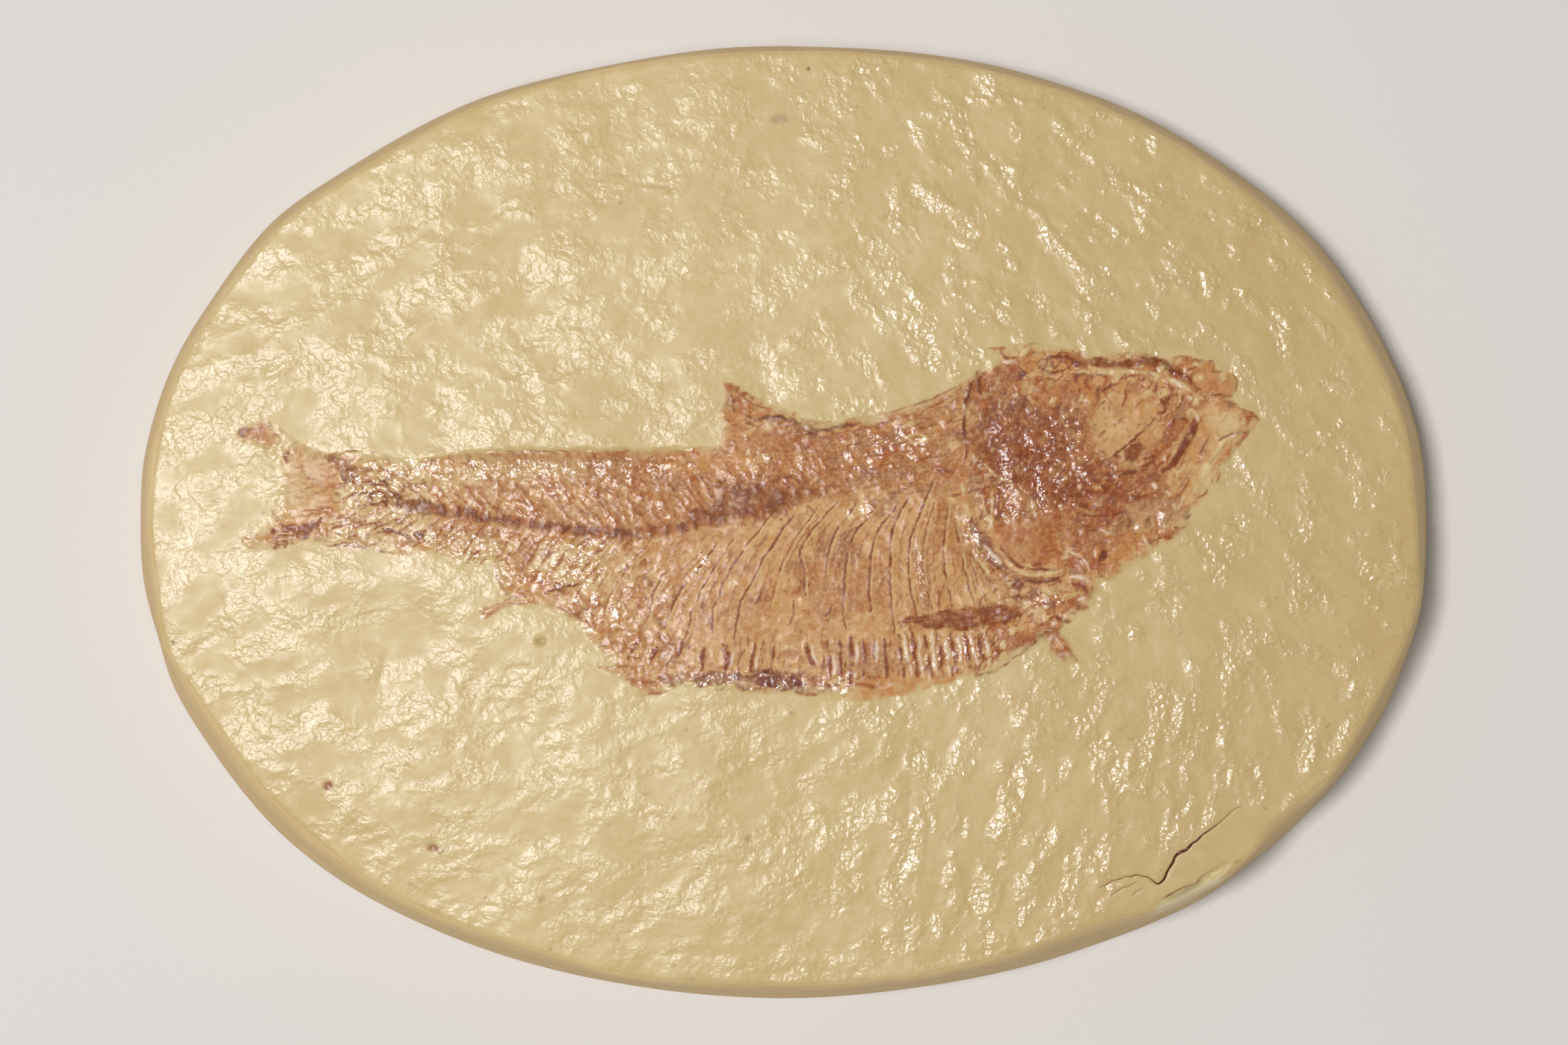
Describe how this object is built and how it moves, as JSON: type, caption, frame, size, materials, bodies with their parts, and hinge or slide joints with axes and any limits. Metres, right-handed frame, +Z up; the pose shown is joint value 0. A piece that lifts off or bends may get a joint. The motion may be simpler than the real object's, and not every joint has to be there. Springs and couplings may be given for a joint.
{
  "type": "fossil fish slab",
  "caption": "Fossil fish skeleton lying in low relief on a hand-cut oval slab of pale limestone with slanting edges and a flat sawn underside.",
  "frame": {"origin": "the middle of the slab's outline, on its flat underside", "axes": "+X along the slab's long side towards the fish's head, +Y towards the fish's back, +Z up out of the face that holds the fish"},
  "size_m": [0.1105, 0.0818, 0.0117],
  "materials": {
    "limestone": "varnished",
    "fossil_bone": "varnished"
  },
  "bodies": {
    "root": {"limestone_slab": "limestone", "fossil_fish": "fossil_bone"}
  },
  "joints": []
}
